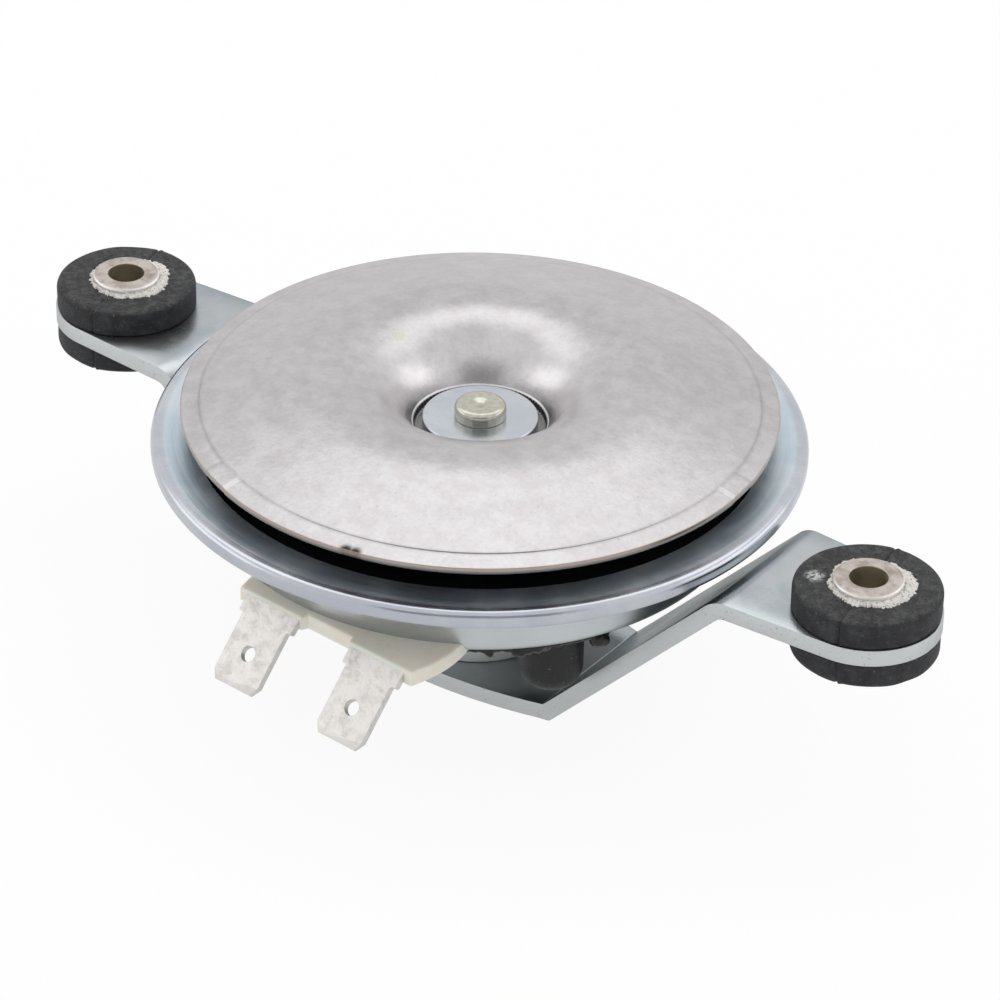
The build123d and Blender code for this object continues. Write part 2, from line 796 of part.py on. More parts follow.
lead_paths = {
    "coil_lead_terminal": [
        on_terminal(left_x, -sqrt(coil_exit**2 - left_x**2), lead_height),
        on_terminal(left_x, -tongue_end + 0.3, lead_height),
    ],
    "coil_lead_breaker": [
        Vector(exit_point.X, exit_point.Y, lead_height),
        Vector(riser_point.X, riser_point.Y, lead_height),
        Vector(riser_point.X, riser_point.Y, over_arm),
        Vector(anchor_edge.X, anchor_edge.Y, over_arm),
        Vector(anchor_end.X, anchor_end.Y, over_arm),
    ],
    "breaker_lead": [
        on_terminal(right_x, -tongue_end + 0.3, lead_height),
        on_terminal(right_x, -tab_tail_end, lead_height),
        on_breaker(-1.5, arm_contact_end + 0.8, under_arm),
        on_breaker(0, arm_contact_end + 1.6, under_arm),
    ],
}
for name, points in lead_paths.items():
    with BuildPart() as lead:
        with BuildLine():
            path = FilletPolyline(*points, radius=lead_bend) if len(points) > 2 else Line(*points)
        with BuildSketch(Plane(origin=path @ 0, z_dir=path % 0)):
            Circle(lead_radius)
        sweep()
    save(lead, name)
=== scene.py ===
from math import acos, atan2, ceil, cos, degrees, exp, hypot, pi, radians, sin, sqrt, tan

import bmesh
import bpy
from mathutils import Matrix, Vector, noise


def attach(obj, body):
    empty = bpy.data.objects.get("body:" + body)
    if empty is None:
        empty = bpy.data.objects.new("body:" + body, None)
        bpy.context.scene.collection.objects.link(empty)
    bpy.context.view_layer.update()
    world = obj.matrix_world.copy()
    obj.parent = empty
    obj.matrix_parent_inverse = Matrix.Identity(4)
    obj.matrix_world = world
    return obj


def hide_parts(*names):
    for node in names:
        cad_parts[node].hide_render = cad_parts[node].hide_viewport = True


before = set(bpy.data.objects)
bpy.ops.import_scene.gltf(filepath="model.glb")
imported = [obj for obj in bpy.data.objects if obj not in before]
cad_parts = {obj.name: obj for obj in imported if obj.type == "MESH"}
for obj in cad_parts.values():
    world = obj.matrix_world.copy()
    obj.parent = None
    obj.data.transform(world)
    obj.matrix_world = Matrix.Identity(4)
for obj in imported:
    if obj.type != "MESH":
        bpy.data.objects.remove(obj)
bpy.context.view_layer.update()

# ------------------------------------------------------------------ mounting bracket
# One strip of 1.9 mm steel, blanked, bent up at both ends and zinc plated.
# The horn's core is staked through its middle, and each ear is punched for a grommet.

MM = 0.001
strip_thickness = 1.9
strip_half_width = 8.95
waist_half_width = 11.2
foot_half_length = 15.8
shoulder_half_length = 37.2
ear_height = 24.5
ear_radius = 8.1
ear_x = 50.5
ear_hole = 5.65
core_hole = 3.55
countersink_radius = 4.5
countersink_depth = 0.95
edge_softness = 0.14
foot_bend = 0.4
foot_bend_outside = 0.9
shoulder_bend = 3.3
shoulder_bend_inside = 1.4


class Socket:
    """A socket in a node tree. Sums written with it add the nodes that work them out."""

    def __init__(self, tree, socket=None):
        self.tree = tree
        self.socket = socket

    def node(self, kind, settings=None, sockets=None, result=0):
        """One more node, with its settings and its sockets' values or links. Gives its result."""
        made = self.tree.nodes.new(kind)
        for name, value in (settings or {}).items():
            setattr(made, name, value)
        for name, value in (sockets or {}).items():
            if isinstance(value, Socket):
                self.tree.links.new(value.socket, made.inputs[name])
            elif isinstance(value, tuple) and len(made.inputs[name].default_value) == 4:
                made.inputs[name].default_value = (*value, 1)
            else:
                made.inputs[name].default_value = value
        return Socket(self.tree, made.outputs[result])

    def math(self, operation, first, second=0.0):
        return self.node("ShaderNodeMath", {"operation": operation}, {0: first, 1: second})

    def __add__(self, other):
        return self.math("ADD", self, other)

    def __sub__(self, other):
        return self.math("SUBTRACT", self, other)

    def __mul__(self, other):
        return self.math("MULTIPLY", self, other)

    def __truediv__(self, other):
        return self.math("DIVIDE", self, other)

    def __rsub__(self, other):
        return self.math("SUBTRACT", other, self)

    def __abs__(self):
        return self.math("ABSOLUTE", self)

    __radd__ = __add__
    __rmul__ = __mul__

    def most(self, other):
        return self.math("MAXIMUM", self, other)

    def rise(self, low, high):
        """0 up to low, 1 from high, and an even curve between them."""
        limits = {"Value": self, "From Min": low, "From Max": high}
        return self.node("ShaderNodeMapRange", {"interpolation_type": "SMOOTHSTEP"}, limits)

    def tint(self, low, high):
        """From colour low where this is 0 to colour high where it is 1."""
        return self.node("ShaderNodeMix", {"data_type": "RGBA"}, {0: self, 6: low, 7: high}, 2)

    def shade(self, colour):
        """A colour darkened or lightened by this much."""
        sockets = {0: colour, "Scale": self}
        return self.node("ShaderNodeVectorMath", {"operation": "SCALE"}, sockets)

    def stretched(self, x, y, z):
        return self.node("ShaderNodeVectorMath", {"operation": "MULTIPLY"}, {0: self, 1: (x, y, z)})

    def axis(self, index):
        return self.node("ShaderNodeSeparateXYZ", None, {0: self}, index)

    def cloud(self, size, detail=3.0, roughness=0.5):
        """Soft patches about size millimetres across."""
        settings = {"noise_dimensions": "3D"}
        sockets = {"Vector": self, "Scale": 1 / size, "Detail": detail, "Roughness": roughness}
        return self.node("ShaderNodeTexNoise", settings, sockets)

    def from_axis(self):
        """Distance from the horn's upright axis."""
        flat = self.stretched(1, 1, 0)
        return flat.node("ShaderNodeVectorMath", {"operation": "LENGTH"}, {0: flat}, 1)

    def round_grain(self, along, across):
        """Streaks that run round the horn's axis: along is their length, across their spacing."""
        radius = self.from_axis()
        x = self.axis(0) / radius * (32 / along)
        y = self.axis(1) / radius * (32 / along)
        path = self.node("ShaderNodeCombineXYZ", None, {0: x, 1: y, 2: radius / across})
        return path.node("ShaderNodeTexNoise", None, {"Vector": path, "Scale": 1.0, "Detail": 2.0})

    def near(self, x, y, radius, edge=0.3):
        """1 within radius millimetres of an upright line at x, y, and 0 beyond."""
        flat = self.stretched(1, 1, 0)
        gap = flat.node("ShaderNodeVectorMath", {"operation": "DISTANCE"}, {0: flat, 1: (x, y, 0)}, 1)
        return 1 - gap.rise(radius * (1 - edge), radius * (1 + edge))

    def relief(self, depth):
        """This height map as a bump, depth millimetres from its lowest to its highest."""
        return self.node("ShaderNodeBump", None, {"Height": self, "Distance": depth * MM})


def finish_of(name, **plain):
    """A new surface finish with the shader's plain values, and the place on it in millimetres."""
    finish = bpy.data.materials.new(name)
    finish.use_nodes = True
    shader = finish.node_tree.nodes["Principled BSDF"]
    for key, value in plain.items():
        shader.inputs[key.replace("_", " ")].default_value = value
    place = Socket(finish.node_tree).node("ShaderNodeTexCoord", result="Object")
    return finish, place.stretched(1 / MM, 1 / MM, 1 / MM)


def coat(finish, **varied):
    """Feed the shader of a finish with what changes over its surface."""
    tree = finish.node_tree
    shader = tree.nodes["Principled BSDF"]
    for key, value in varied.items():
        tree.links.new(value.socket, shader.inputs[key.replace("_", " ")])


def surface_normal(place):
    """The direction that the surface faces."""
    return place.node("ShaderNodeNewGeometry", result=1)


def rounded(points, radii, step=9):
    """A bent line through the points, with an arc of the given radius at each inner corner."""
    line = [Vector(points[0])]
    for before, corner, after, radius in zip(points, points[1:], points[2:], radii):
        corner = Vector(corner)
        into = (corner - Vector(before)).normalized()
        out = (Vector(after) - corner).normalized()
        turn = atan2(into.x * out.y - into.y * out.x, into.dot(out))
        reach = radius * tan(abs(turn) / 2)
        side = Vector((-into.y, into.x)) * (radius if turn > 0 else -radius)
        start = corner - into * reach
        centre = start + side
        line.append(start - into * 0.02)
        count = max(2, ceil(abs(degrees(turn)) / step))
        for index in range(count + 1):
            line.append(centre + Matrix.Rotation(turn * index / count, 2) @ (start - centre))
        line.append(corner + out * (reach + 0.02))
    line.append(Vector(points[-1]))
    return line


def object_of(name, mesh):
    """Turn a closed mesh in millimetres into an object."""
    bmesh.ops.recalc_face_normals(mesh, faces=mesh.faces)
    bmesh.ops.scale(mesh, vec=(MM, MM, MM), verts=mesh.verts)
    data = bpy.data.meshes.new(name)
    mesh.to_mesh(data)
    mesh.free()
    made = bpy.data.objects.new(name, data)
    bpy.context.scene.collection.objects.link(made)
    return made


def piece_of(name, mesh, finish, stands_for, sharp=38):
    """Turn a mesh in millimetres into a piece of the horn that rides on its one body."""
    piece = object_of(name, mesh)
    piece.data.shade_smooth()
    piece.data.set_sharp_from_angle(angle=radians(sharp))
    piece.data.materials.append(finish)
    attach(piece, "root")
    if stands_for:
        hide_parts(stands_for)
    return piece


def spun(outline, segments=192, shape=None, centre=(0, 0)):
    """Spin a section of (radius, height) points about an upright line. Ends on the line close it.
    A shape moves each point by its angle, radius and height."""
    mesh = bmesh.new()
    rings = []
    for radius, height in outline:
        ring = []
        for index in range(segments if radius > 1e-6 else 1):
            angle = 2 * pi * index / segments
            out, up = shape(angle, radius, height) if shape else (radius, height)
            x, y = centre[0] + out * cos(angle), centre[1] + out * sin(angle)
            ring.append(mesh.verts.new((x, y, up)))
        rings.append(ring)
    closed = len(rings[0]) > 1 and len(rings[-1]) > 1
    for low, high in zip(rings, rings[1:] + rings[:1] if closed else rings[1:]):
        for index in range(segments):
            after = (index + 1) % segments
            corners = [low[index % len(low)], low[after % len(low)]]
            corners += [high[after % len(high)], high[index % len(high)]]
            mesh.faces.new(list(dict.fromkeys(corners)))
    return mesh


def cut_from(piece, cutter_mesh):
    """Cut a closed shape, in millimetres, out of a piece."""
    cutter = object_of("cutter", cutter_mesh)
    cut = piece.modifiers.new("cut", "BOOLEAN")
    cut.object = cutter
    cut.solver = "EXACT"
    settle(piece)
    bpy.data.objects.remove(cutter)


def settle(piece, sharp=38):
    """Apply a piece's modifiers to its mesh."""
    graph = bpy.context.evaluated_depsgraph_get()
    data = bpy.data.meshes.new_from_object(piece.evaluated_get(graph))
    piece.modifiers.clear()
    piece.data = data
    data.shade_smooth()
    data.set_sharp_from_angle(angle=radians(sharp))


def soften_edges(piece, width, steps=2, over=35):
    """Break the sharp edges of a piece, as tumbling and plating do."""
    bevel = piece.modifiers.new("edges", "BEVEL")
    bevel.width = width * MM
    bevel.segments = steps
    bevel.limit_method = "ANGLE"
    bevel.angle_limit = radians(over)
    settle(piece)


zinc_bracket, place = finish_of("zinc_bracket", Metallic=1.0, Specular_Tint=(0.5, 0.52, 0.53, 1))
upright = surface_normal(place)
cut_edge = 1 - abs(upright.axis(2)).rise(0.25, 0.5)
patches = place.cloud(9, 3).rise(0.35, 0.68)
bloom = place.cloud(3.5, 4, 0.6).rise(0.4, 0.75)
sheet_tone = bloom.tint(patches.tint((0.41, 0.45, 0.47), (0.46, 0.48, 0.49)), (0.49, 0.51, 0.53))
pits = place.cloud(0.32, 3, 0.7).rise(0.62, 0.72)
pitted_line = place.cloud(5, 2).rise(0.35, 0.6)
# The sloping arms are painted darker than the flat parts: painted shade.
painted_shade_on_slopes = 1 - abs(upright.axis(2)).rise(0.74, 0.97)
sheet_tone = painted_shade_on_slopes.tint(sheet_tone, (0.35, 0.38, 0.385))
edge_tone = (pits * pitted_line).tint((0.60, 0.62, 0.62), (0.20, 0.20, 0.20))
scratches = place.stretched(1, 9, 9).cloud(2.2, 2)
coat(
    zinc_bracket,
    Base_Color=cut_edge.tint(sheet_tone, edge_tone),
    Roughness=0.24 + patches * 0.06 + bloom * 0.05 + cut_edge * 0.24,
    Normal=(scratches * 0.5 + pits * cut_edge * 2.0 + place.cloud(1.5) * 0.5).relief(0.012),
)

# The strip's top and bottom lines from ear to ear, each with its own bends.
slope = atan2(ear_height - strip_thickness, shoulder_half_length - foot_half_length)
bend_shift = strip_thickness * tan(slope / 2)
ear_bottom = ear_height - strip_thickness
top_line = rounded(
    [
        (-ear_x, ear_height),
        (-shoulder_half_length, ear_height),
        (-foot_half_length, strip_thickness),
        (foot_half_length, strip_thickness),
        (shoulder_half_length, ear_height),
        (ear_x, ear_height),
    ],
    [shoulder_bend, foot_bend, foot_bend, shoulder_bend],
    step=6,
)
bottom_line = rounded(
    [
        (-ear_x, ear_bottom),
        (-shoulder_half_length - bend_shift, ear_bottom),
        (-foot_half_length - bend_shift, 0),
        (foot_half_length + bend_shift, 0),
        (shoulder_half_length + bend_shift, ear_bottom),
        (ear_x, ear_bottom),
    ],
    [shoulder_bend_inside, foot_bend_outside, foot_bend_outside, shoulder_bend_inside],
    step=6,
)
waist_rise = waist_half_width - strip_half_width
waist_radius = (foot_half_length**2 + waist_rise**2) / (2 * waist_rise)
ear_reach = ear_x - shoulder_half_length
shoulder_reach = hypot(ear_reach, strip_half_width)
taper_angle = atan2(strip_half_width, -ear_reach) - acos(ear_radius / shoulder_reach)


def half_width(x):
    """Half of the strip's width: a bowed foot, straight arms, and ears that taper to round ends."""
    x = abs(x)
    if x < foot_half_length:
        return sqrt(waist_radius**2 - x**2) - waist_radius + waist_half_width
    if x < shoulder_half_length:
        return strip_half_width
    share = (x - shoulder_half_length) / (ear_x + ear_radius * cos(taper_angle) - shoulder_half_length)
    return strip_half_width + share * (ear_radius * sin(taper_angle) - strip_half_width)


# Stations along the strip, then a mesh of its cross sections.
stations = []
for start, end, under, under_end in zip(top_line, top_line[1:], bottom_line, bottom_line[1:]):
    count = max(1, ceil((end - start).length / 1.2))
    for index in range(count):
        top, bottom = start.lerp(end, index / count), under.lerp(under_end, index / count)
        stations.append((top, bottom, half_width(top.x), half_width(bottom.x)))
ends = []
for index in range(25):
    angle = taper_angle + (radians(4) - taper_angle) * index / 24
    x, width = ear_x + ear_radius * cos(angle), ear_radius * sin(angle)
    ends.append((Vector((x, ear_height)), Vector((x, ear_bottom)), width, width))
mirror = Vector((-1, 1))
other_ends = [(top * mirror, bottom * mirror, *widths) for top, bottom, *widths in reversed(ends)]
stations = other_ends + stations + ends

mesh = bmesh.new()
columns = 6
rows = []
for top, bottom, top_width, bottom_width in stations:
    shares = [2 * column / columns - 1 for column in range(columns + 1)]
    upper = [mesh.verts.new((top.x, top_width * share, top.y)) for share in shares]
    lower = [mesh.verts.new((bottom.x, bottom_width * share, bottom.y)) for share in shares]
    rows.append(upper + lower[::-1])
for row, following in zip(rows, rows[1:]):
    for index in range(len(row)):
        after = (index + 1) % len(row)
        mesh.faces.new((row[index], row[after], following[after], following[index]))
mesh.faces.new(rows[0])
mesh.faces.new(rows[-1][::-1])
bracket = piece_of("bracket", mesh, zinc_bracket, "mounting_bracket")
for x in (-ear_x, ear_x):
    cut_from(bracket, spun([(0, 20), (ear_hole, 20), (ear_hole, 26), (0, 26)], 96, centre=(x, 0)))
countersink = [
    (0, -1),
    (countersink_radius + 1, -1),
    (countersink_radius, 0),
    (core_hole, countersink_depth),
    (core_hole, 3),
    (0, 3),
]
cut_from(bracket, spun(countersink, 96))
soften_edges(bracket, edge_softness)

# ------------------------------------------------------------------ rubber grommets
# Moulded black rubber, pushed through the punched ears so that a disc lies on each side.
# They keep the horn's buzz out of the frame it is bolted to.

ear_middle = ear_height - strip_thickness / 2
grommet_radius = 7.95
grommet_flange = 3.0
grommet_waist = 5.6
grommet_edge = 0.65
rubber_half = strip_thickness / 2 + grommet_flange
parting_turn = radians(-79)
ridge_height = 0.07
crease_depth = 0.16
unevenness = 0.05
fit = 0.01
ear_half = strip_thickness / 2 + fit
sleeve_room = 3.82
sides = (("left", -1), ("right", 1))

rubber, place = finish_of("rubber", Specular_IOR_Level=0.35)
dust = place.cloud(0.5, 4, 0.65).rise(0.58, 0.72)
specks = place.cloud(0.24, 1, 0.4).rise(0.77, 0.84)
bloom = place.cloud(2.2, 5, 0.7).rise(0.40, 0.72)
wiped = place.cloud(1.1, 6, 0.8)
tone = bloom.tint((0.014, 0.014, 0.016), (0.05, 0.051, 0.053))
worn = surface_normal(place).axis(2).rise(0.5, 0.95) * place.cloud(0.8, 6, 0.8).rise(0.42, 0.66)
tone = (worn * 0.3).tint(tone, (0.20, 0.20, 0.195))
tone = (dust * 0.30).tint(tone, (0.22, 0.22, 0.21))
tone = specks.tint(tone, (0.36, 0.35, 0.31))
scuffs = place.near(45.3, -2.2, 0.95, 0.5) * place.cloud(0.6, 4, 0.8).rise(0.42, 0.6)
tone = scuffs.tint(tone, (0.62, 0.62, 0.62))
coat(
    rubber,
    Base_Color=tone,
    Roughness=0.62 + bloom * 0.22,
    Normal=(wiped * 1.6 + place.cloud(0.25, 2) * 0.5 + dust * 0.3).relief(0.14),
)

for side, sign in sides:

    def moulded(angle, radius, height):
        """Uneven rubber with the mould's parting line across it: a crease beside a low ridge."""
        spot = Vector((radius * cos(angle), radius * sin(angle), height + 40 * sign))
        lift = noise.noise(spot * 0.35)
        off_line = radius * sin(angle - parting_turn)
        ridge = ridge_height * exp(-(((off_line - 0.3) / 0.22) ** 2))
        ridge -= crease_depth * exp(-((off_line / 0.14) ** 2))
        ridge = ridge if radius > 5.7 or abs(height - ear_middle) > 3.8 else 0
        upward = 1 if height > ear_middle else -1
        outer = radius > grommet_radius - 0.3
        inner = radius < sleeve_room + 0.3
        out = radius + (0.0 if inner else unevenness * lift) + (ridge if outer else 0)
        top = abs(height - ear_middle) > rubber_half - 0.3
        return out, height + (upward * (unevenness * lift + ridge) if top and not inner else 0)

    section = rounded(
        [
            (sleeve_room, ear_middle - rubber_half),
            (grommet_radius, ear_middle - rubber_half),
            (grommet_radius, ear_middle - ear_half),
            (grommet_waist, ear_middle - ear_half),
            (grommet_waist, ear_middle + ear_half),
            (grommet_radius, ear_middle + ear_half),
            (grommet_radius, ear_middle + rubber_half),
            (sleeve_room, ear_middle + rubber_half),
        ],
        [grommet_edge, 0.25, 0.1, 0.1, 0.25, grommet_edge],
        step=15,
    )
    filled = [section[0]]
    for start, end in zip(section, section[1:]):
        count = max(1, ceil((end - start).length / 0.5))
        filled += [start.lerp(end, (index + 1) / count) for index in range(count)]
    mesh = spun(filled, 288, moulded, centre=(sign * ear_x, 0))
    piece_of(f"rubber_{side}", mesh, rubber, f"grommet_{side}", sharp=60)

# ------------------------------------------------------------------ sleeves in the grommets
# Turned steel tubes, nickel plated and gone slightly brown. The rubber is moulded onto them
# and has left a ragged crust of flash round each end.

sleeve_radius = 3.8
sleeve_bore = 2.05
sleeve_half = rubber_half + 0.9
sleeve_edge = 0.45

sleeve_nickel, place = finish_of("sleeve_nickel", Metallic=0.9)
brown = place.cloud(1.6, 4, 0.6).rise(0.38, 0.7)
grain = place.cloud(0.3, 2)
browned = abs(surface_normal(place).axis(2)).rise(0.6, 0.95) * (0.66 + brown * 0.34)
tone = browned.tint((0.84, 0.82, 0.79), (0.33, 0.275, 0.24))
# The bore is painted darker: painted shade inside the tube.
painted_shade_in_bore = place.near(-ear_x, 0, 2.12, 0.03) + place.near(ear_x, 0, 2.12, 0.03)
coat(
    sleeve_nickel,
    Base_Color=painted_shade_in_bore.tint(tone, (0.42, 0.37, 0.28)),
    Roughness=0.42 + brown * 0.14,
    Normal=(grain + brown * 0.5).relief(0.04),
)

flash_crust, place = finish_of("flash_crust", Roughness=0.8)
crumbs = place.cloud(0.22, 3, 0.7)
coat(
    flash_crust,
    Base_Color=crumbs.rise(0.28, 0.5).tint((0.20, 0.18, 0.15), (0.82, 0.79, 0.73)),
    Normal=crumbs.relief(0.12),
)

for side, sign in sides:
    section = rounded(
        [
            (sleeve_bore, ear_middle),
            (sleeve_bore, ear_middle - sleeve_half),
            (sleeve_radius, ear_middle - sleeve_half),
            (sleeve_radius, ear_middle + sleeve_half),
            (sleeve_bore, ear_middle + sleeve_half),
            (sleeve_bore, ear_middle),
        ],
        [0.15, sleeve_edge, sleeve_edge, 0.15],
        step=12,
    )
    mesh = spun(section[:-1], 128, centre=(sign * ear_x, 0))
    piece_of(f"tube_{side}", mesh, sleeve_nickel, f"sleeve_{side}")
    for end, facing in (("top", 1), ("bottom", -1)):
        face = ear_middle + facing * rubber_half

        def ragged(angle, radius, height):
            """Torn flash: it spreads and stands up by different amounts all the way round."""
            turn = Vector((cos(angle), sin(angle), 3.0 * sign + facing))
            broad = noise.noise(turn * 1.7) + 0.5 * noise.noise(turn * 5.1)
            fine = noise.noise(turn * 14) + noise.noise(turn * 31)
            spread = 0.55 + 0.3 * cos(angle - pi / 4) + 0.3 * broad + 0.2 * fine
            out = sleeve_radius - 0.02 + (radius - sleeve_radius) * max(0.12, spread)
            crumb = noise.noise(turn * 23 + Vector((radius * 3, 0, 0)))
            up = height * max(0.25, 0.8 + 0.5 * noise.noise(turn * 6.3) + 0.5 * crumb)
            return out, face + facing * (up - 0.03)

        crust = [(3.8, 0.0), (3.81, 0.42), (4.05, 0.46), (4.3, 0.40)]
        crust += [(4.55, 0.34), (4.8, 0.3), (5.1, 0.16), (5.25, 0.0)]
        mesh = spun(crust, 240, ragged, centre=(sign * ear_x, 0))
        piece_of(f"flash_{side}_{end}", mesh, flash_crust, None, sharp=80)

# ------------------------------------------------------------------ core and spacer collar
# The soft iron core runs down through the pan and a zinc plated collar, and its neck is
# staked over in the countersink of the bracket.

collar_radius = 8.9
collar_bore = 3.6
collar_top = 10.4

plain_steel, place = finish_of("plain_steel", Metallic=1.0)
turning = place.cloud(0.8, 3)
coat(
    plain_steel,
    Base_Color=turning.rise(0.3, 0.7).tint((0.40, 0.40, 0.40), (0.55, 0.55, 0.54)),
    Roughness=0.35 + turning * 0.2,
    Normal=turning.relief(0.02),
)


def dress(name, finish):
    """Give a piece that stays as its solid its finish."""
    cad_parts[name].data.materials[0] = finish


dress("core", plain_steel)

# The collar's colour is painted lighter than plated zinc would be: painted light for the dim place
# under the pan.
collar_zinc_painted_light, place = finish_of("collar_zinc_painted_light", Metallic=0.3)
patches = place.cloud(3, 3).rise(0.35, 0.7)
coat(
    collar_zinc_painted_light,
    Base_Color=patches.tint((0.80, 0.83, 0.84), (0.86, 0.88, 0.88)),
    Roughness=0.3 + patches * 0.12,
    Normal=place.stretched(1, 1, 6).cloud(1.2, 3).relief(0.02),
)
section = rounded(
    [
        (collar_bore, strip_thickness),
        (collar_radius, strip_thickness),
        (collar_radius, collar_top),
        (collar_bore, collar_top),
    ],
    [0.3, 0.3],
    step=20,
)
piece_of("collar", spun(section, 128), collar_zinc_painted_light, "spacer_collar")

# ------------------------------------------------------------------ housing pan
# Pressed from 0.6 mm sheet in one draw, with a deeper pot in its middle for the coil.
# Bright zinc plate over drawing marks that run round it.

zinc_pan, place = finish_of("zinc_pan", Metallic=1.0)
streaks = place.round_grain(14, 0.35)
patches = place.cloud(7, 4, 0.6).rise(0.35, 0.7)
# Faces that look down are painted near black: painted shade under the pan.
painted_shade_underneath = (surface_normal(place).axis(2) * -1.0).rise(0.5, 0.97)
tone = patches.tint((0.54, 0.58, 0.59), (0.6, 0.64, 0.65))
coat(
    zinc_pan,
    Base_Color=painted_shade_underneath.tint(tone, (0.11, 0.125, 0.115)),
    Roughness=0.38 + patches * 0.08 + streaks * 0.06 + painted_shade_underneath * 0.1,
    Normal=(streaks * 0.6 + place.cloud(1.3, 3) * 0.5).relief(0.02),
)
dress("housing_pan", zinc_pan)

# ------------------------------------------------------------------ coil, armature and breaker
# Closed inside the pan: an enamelled copper coil on a nylon bobbin, an iron armature under
# the diaphragm, and a stack of springs and laminate that breaks the current.


def simple_finish(name, light, dark, size, **plain):
    """A finish in two tones, in patches of the given size."""
    finish, place = finish_of(name, **plain)
    patches = place.cloud(size, 3)
    coat(finish, Base_Color=patches.rise(0.35, 0.68).tint(light, dark), Normal=patches.relief(0.03))
    return finish


enamelled_copper, place = finish_of("enamelled_copper", Metallic=0.9, Roughness=0.3)
turns = place.stretched(0.2, 0.2, 5).cloud(1.0, 2)
coat(
    enamelled_copper,
    Base_Color=turns.rise(0.4, 0.6).tint((0.52, 0.22, 0.10), (0.70, 0.36, 0.18)),
    Normal=turns.relief(0.15),
)
metal = {"Metallic": 1.0}
nylon = simple_finish("bobbin_nylon", (0.62, 0.58, 0.48), (0.54, 0.50, 0.41), 4, Roughness=0.45)
iron = simple_finish("soft_iron", (0.36, 0.36, 0.37), (0.26, 0.26, 0.27), 3, Roughness=0.45, **metal)
laminate = simple_finish("laminate_brown", (0.14, 0.06, 0.03), (0.09, 0.04, 0.02), 1.5, Roughness=0.5)
bronze = simple_finish(
    "spring_bronze", (0.60, 0.40, 0.20), (0.46, 0.30, 0.16), 2, Roughness=0.3, **metal
)
contact = simple_finish(
    "contact_metal", (0.55, 0.55, 0.56), (0.42, 0.42, 0.43), 0.6, Roughness=0.25, **metal
)
inner_finishes = (
    (enamelled_copper, ["coil_winding", "coil_lead_terminal", "coil_lead_breaker", "breaker_lead"]),
    (nylon, ["coil_bobbin"]),
    (iron, ["armature"]),
    (laminate, ["breaker_base_insulator", "breaker_middle_insulator"]),
    (bronze, ["fixed_contact_arm", "moving_contact_spring"]),
    (contact, ["fixed_contact", "moving_contact"]),
    (plain_steel, ["breaker_clamp_plate", "breaker_rivets", "adjusting_screw", "adjuster_nut"]),
)
for finish, names in inner_finishes:
    for name in names:
        dress(name, finish)

# ------------------------------------------------------------------ gasket and diaphragm
# A fibre ring on the pan's flange, and on it a thin spring steel diaphragm, black oxide
# finished, which shows in the gap under the tone disc; its colour is set near pure black as painted
# shade for that deep gap.

black = (0.001, 0.001, 0.001)
near_black = (0.003, 0.003, 0.003)
black_oxide_painted_shade = simple_finish("black_oxide_painted_shade", near_black, black, 6, Roughness=0.9, Specular_IOR_Level=0.1)
dress("diaphragm", black_oxide_painted_shade)
fibre = simple_finish("gasket_fibre", (0.09, 0.07, 0.05), (0.05, 0.04, 0.03), 0.6, Roughness=0.9)
dress("rim_gasket", fibre)

# ------------------------------------------------------------------ crimped ring
# A band of 0.5 mm zinc plated sheet, spun over the rim: it lies flat on the diaphragm, turns
# down sharply round the flange and curls under it.

ring_sheet = 0.5
ring_radius = 36.0
ring_mouth = 31.2
curl_end = 34.0
diaphragm_top = 26.3
flange_bottom = 25.25
band_middle = ring_radius - ring_sheet / 2
lip_middle = diaphragm_top + ring_sheet / 2
curl_middle = flange_bottom - ring_sheet / 2


def beside(line, reach):
    """The line moved sideways by reach, to its left."""
    moved = []
    for number, spot in enumerate(line):
        along = (line[min(number + 1, len(line) - 1)] - line[max(number - 1, 0)]).normalized()
        moved.append(spot + Vector((-along.y, along.x)) * reach)
    return moved


def sheet_section(line, above, below, under=None):
    """A closed section of sheet along a line, rounded at its two cut ends."""
    upper, lower = beside(line, above), beside(under or line, -below)
    far_end = (upper[-1], lower[-1], line[-1] - line[-2])
    near_end = (lower[0], upper[0], line[0] - line[1])
    ends = []
    for first, last, onward in (far_end, near_end):
        bulge = onward.normalized() * (above + below) * 0.16
        shares = ((0.12, 0.7), (0.5, 1.0), (0.88, 0.7))
        ends.append([first.lerp(last, across) + bulge * out for across, out in shares])
    return upper + ends[0] + lower[::-1] + ends[1]


zinc_ring, place = finish_of("zinc_ring", Metallic=1.0)
streaks = place.round_grain(9, 0.16)
fine_streaks = place.round_grain(5, 0.06)
patches = place.cloud(6, 4, 0.6).rise(0.38, 0.7)
dirt = place.cloud(0.3, 2, 0.5).rise(0.72, 0.8)
# The flat lip inside the bead is painted lighter and bluer than the rest of the ring: a painted
# reflection.
lip_with_painted_reflection = 1 - place.from_axis().rise(34.2, 35.0)
tone = patches.tint((0.45, 0.47, 0.52), (0.52, 0.54, 0.57))
tone = lip_with_painted_reflection.tint(tone, patches.tint((0.47, 0.55, 0.61), (0.56, 0.62, 0.66)))
coat(
    zinc_ring,
    Base_Color=(dirt * 0.6).tint(tone, (0.30, 0.31, 0.30)),
    Roughness=0.15 + patches * 0.08 + streaks * 0.1 + lip_with_painted_reflection * (0.14 + streaks * 0.16),
    Normal=(streaks * 0.7 + fine_streaks * 0.6 + dirt).relief(0.012),
)
line = rounded(
    [
        (ring_mouth, lip_middle),
        (33.4, lip_middle - 0.02),
        (34.4, lip_middle + 0.03),
        (band_middle, lip_middle - 0.02),
        (band_middle, curl_middle),
        (curl_end, curl_middle),
    ],
    [2.0, 2.0, 0.55, 0.45],
    step=6,
)
section = sheet_section(line, ring_sheet / 2, ring_sheet / 2)
